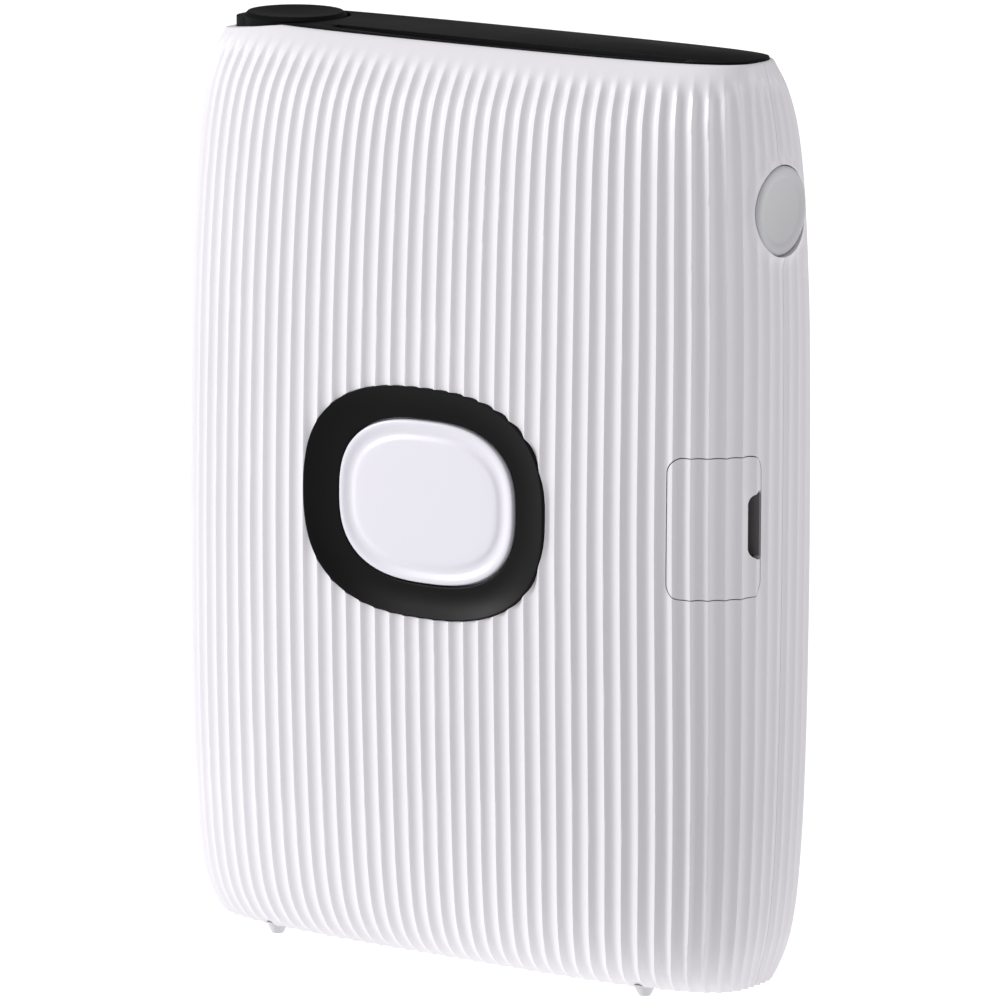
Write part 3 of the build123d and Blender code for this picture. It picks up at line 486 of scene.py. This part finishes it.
def clear(name, colour, rough, transmission):
    """Clear or frosted plastic or glass."""
    m = Nodes(name)
    tone = m.ramp(m.noise(120), [(0.3, shade(colour, 0.96)), (0.7, shade(colour, 1.02))])
    m.link(tone, m.shader.inputs["Base Color"])
    gloss = m.ramp(m.noise(400), [(0.3, (max(0.02, rough - 0.05),)), (0.7, (rough + 0.05,))])
    m.link(gloss, m.shader.inputs["Roughness"])
    m.link(m.bump(m.noise(2500), 0.2, 0.004), m.shader.inputs["Normal"])
    m.shader.inputs["Transmission Weight"].default_value = transmission
    m.shader.inputs["IOR"].default_value = 1.49
    return m.material


MATERIALS = {
    "shell_white": lambda name: plastic(name, (0.80, 0.78, 0.825), 0.42, 7000, 0.003, 0.008),
    "button_white": lambda name: plastic(name, (0.82, 0.80, 0.875), 0.34, 6000, 0.002, 0.004,
                                         coat=0.2, wave=0.03),
    "button_grey": lambda name: plastic(name, (0.56, 0.56, 0.585), 0.42, 7000, 0.003, 0.02),
    "panel_black": lambda name: plastic(name, (0.005, 0.005, 0.0055), 0.58, 8000, 0.004, 0.1, specular=0.05),
    "bezel_black": lambda name: plastic(name, (0.004, 0.004, 0.0042), 0.42, 5200, 0.012, 0.12, specular=0.11),
    "inner_black": lambda name: plastic(name, (0.022, 0.022, 0.024), 0.55, 4000, 0.01, 0.08),
    "inner_grey": lambda name: plastic(name, (0.14, 0.135, 0.14), 0.5, 4000, 0.008, 0.05),
    "clear_guide": lambda name: clear(name, (0.9, 0.9, 0.93), 0.4, 0.65),
    "circuit_green": lambda name: circuit(name),
    "chip_black": lambda name: plastic(name, (0.016, 0.016, 0.017), 0.6, 3500, 0.012, 0.1),
    "led_white": lambda name: clear(name, (0.93, 0.9, 0.72), 0.2, 0.3),
    "steel": lambda name: steel(name, (0.6, 0.6, 0.61), 0.3, (0.05, 1.0, 1.0)),
    "spring_steel": lambda name: steel(name, (0.52, 0.52, 0.53), 0.26, (1.0, 1.0, 0.1)),
    "tin_shield": lambda name: steel(name, (0.7, 0.7, 0.7), 0.38, (1.0, 1.0, 0.15)),
    "foil_cell": lambda name: foil(name),
    "foam_grey": lambda name: soft_black(name, (0.12, 0.12, 0.13), 1400, 0.12),
    "seal_felt": lambda name: soft_black(name, (0.02, 0.02, 0.02), 2600, 0.1),
    "roller_rubber": lambda name: plastic(name, (0.04, 0.04, 0.04), 0.75, 2600, 0.02, 0.1, specular=0.3),
    "gear_white": lambda name: plastic(name, (0.76, 0.75, 0.7), 0.38, 5000, 0.004, 0.02),
    "lens_glass": lambda name: clear(name, (0.82, 0.88, 0.93), 0.06, 0.9),
    "foot_rubber": lambda name: plastic(name, (0.6, 0.585, 0.62), 0.6, 5000, 0.01, 0.02),
}
made = {}


def material(slot_name):
    if slot_name not in made:
        made[slot_name] = MATERIALS[slot_name](slot_name)
    return made[slot_name]


def paint(obj, slot_name):
    obj.data.materials.clear()
    obj.data.materials.append(material(slot_name))


def paint_nodes():
    """Every CAD node takes the procedural material of its slot in the record."""
    for part in frame["record"]["subparts"]:
        node = frame["nodes"].get(part["node"])
        if node is None:
            continue
        for k in range(len(node.material_slots)):
            node.material_slots[k].material = material(part["material_slot"])


# ---- camera, floor and light ----
CAMERA_PLACE = (622.09, -931.29, 283.75 + LIFT)
CAMERA_FORWARD = (-0.54443, 0.81588, -0.19477)
CAMERA_UP = (-0.11209, 0.15936, 0.98084)
CAMERA_LENS = 304.65

# The floor's glow along the direction away from the camera, in metres from the origin.
AWAY = (-0.555, 0.832, 0.0)
GLOW_REACH = (-0.35, -0.03)
GLOW = [(0.0, (0.82,)), (0.6, (0.74,)), (0.9, (0.5,)), (1.0, (1.0,))]
GLOW_STRENGTH = 1.05
SKY_STRENGTH = 0.3

# Name, place, target, width and power of each light.
LIGHTS = [
    ("key", (-1.8, -1.45, 0.9), (0, 0, 0.06), 0.7, 35),
    ("side", (2.3, 0.9, 0.9), (0, 0, 0.06), 0.8, 13.0),
    ("top", (-0.3, -0.7, 2.0), (0, 0, 0.06), 1.0, 10),
    ("back", (-1.3, 2.1, 0.62), (0, 0, 0.12), 0.6, 0.3),
]


def make_camera():
    data = bpy.data.cameras.new("camera")
    camera = bpy.data.objects.new("camera", data)
    bpy.context.scene.collection.objects.link(camera)
    forward = Vector(CAMERA_FORWARD).normalized()
    up = Vector(CAMERA_UP)
    right = forward.cross(up).normalized()
    up = right.cross(forward)
    turn = Matrix((right, up, -forward)).transposed().to_4x4()
    place = Vector(CAMERA_PLACE) * MM
    camera.matrix_world = Matrix.Translation(place) @ turn
    data.sensor_width = 36.0
    data.lens = CAMERA_LENS
    data.clip_start = 0.05
    data.clip_end = 60.0
    bpy.context.scene.camera = camera


def area_light(name, place, target, size, power):
    """Round soft light, in metres and watts."""
    data = bpy.data.lights.new(name, "AREA")
    data.shape = "DISK"
    data.size = size
    data.energy = power
    light = bpy.data.objects.new(name, data)
    bpy.context.scene.collection.objects.link(light)
    light.location = place
    light.rotation_euler = (Vector(target) - Vector(place)).to_track_quat("-Z", "Y").to_euler()


def make_floor():
    """White floor that glows behind the object and less in front of it."""
    floor_mesh = bpy.data.meshes.new("floor")
    floor_mesh.from_pydata([(-12, -12, 0), (12, -12, 0), (12, 12, 0), (-12, 12, 0)], [], [(0, 1, 2, 3)])
    floor = bpy.data.objects.new("floor", floor_mesh)
    bpy.context.scene.collection.objects.link(floor)
    m = Nodes("floor_pale")
    m.link(m.ramp(m.noise(6, 2), [(0.3, (0.11,)), (0.7, (0.13,))]), m.shader.inputs["Base Color"])
    along = m.add("ShaderNodeVectorMath", operation="DOT_PRODUCT")
    m.link(m.place, along.inputs[0])
    along.inputs[1].default_value = AWAY
    reach = m.add("ShaderNodeMapRange")
    m.link(along.outputs["Value"], reach.inputs["Value"])
    reach.inputs["From Min"].default_value, reach.inputs["From Max"].default_value = GLOW_REACH
    glow = m.ramp(reach.outputs["Result"], GLOW)
    m.link(glow, m.shader.inputs["Emission Color"])
    m.shader.inputs["Roughness"].default_value = 0.9
    m.shader.inputs["Specular IOR Level"].default_value = 0.1
    m.shader.inputs["Emission Strength"].default_value = GLOW_STRENGTH
    floor.data.materials.append(m.material)


def make_studio():
    make_floor()
    world = bpy.data.worlds.new("studio")
    bpy.context.scene.world = world
    world.use_nodes = True
    sky = world.node_tree.nodes["Background"]
    sky.inputs["Color"].default_value = (1.0, 0.995, 1.0, 1)
    sky.inputs["Strength"].default_value = SKY_STRENGTH
    for name, place, target, size, power in LIGHTS:
        area_light(name, place, target, size, power)
    scene = bpy.context.scene
    scene.view_settings.view_transform = "Standard"
    scene.view_settings.look = "None"


make_camera()
make_studio()
paint_nodes()
form = fluted_case()
shell_piece("front_shell", "front_cover", "housing", form)
shell_piece("rear_shell", "rear_cover", "housing", form)
shell_piece("door_shell", "film_door", "film_door", form)
shell_piece("port_cover", "usb_cover", "usb_cover", form)
shell_piece("port_lining", "port_surround", "housing", form, "inner_grey")
bpy.data.objects.remove(form)
power_button()
bezel()
function_button()
rounded_copy("top_panel", "housing", "panel_black", 0.18)
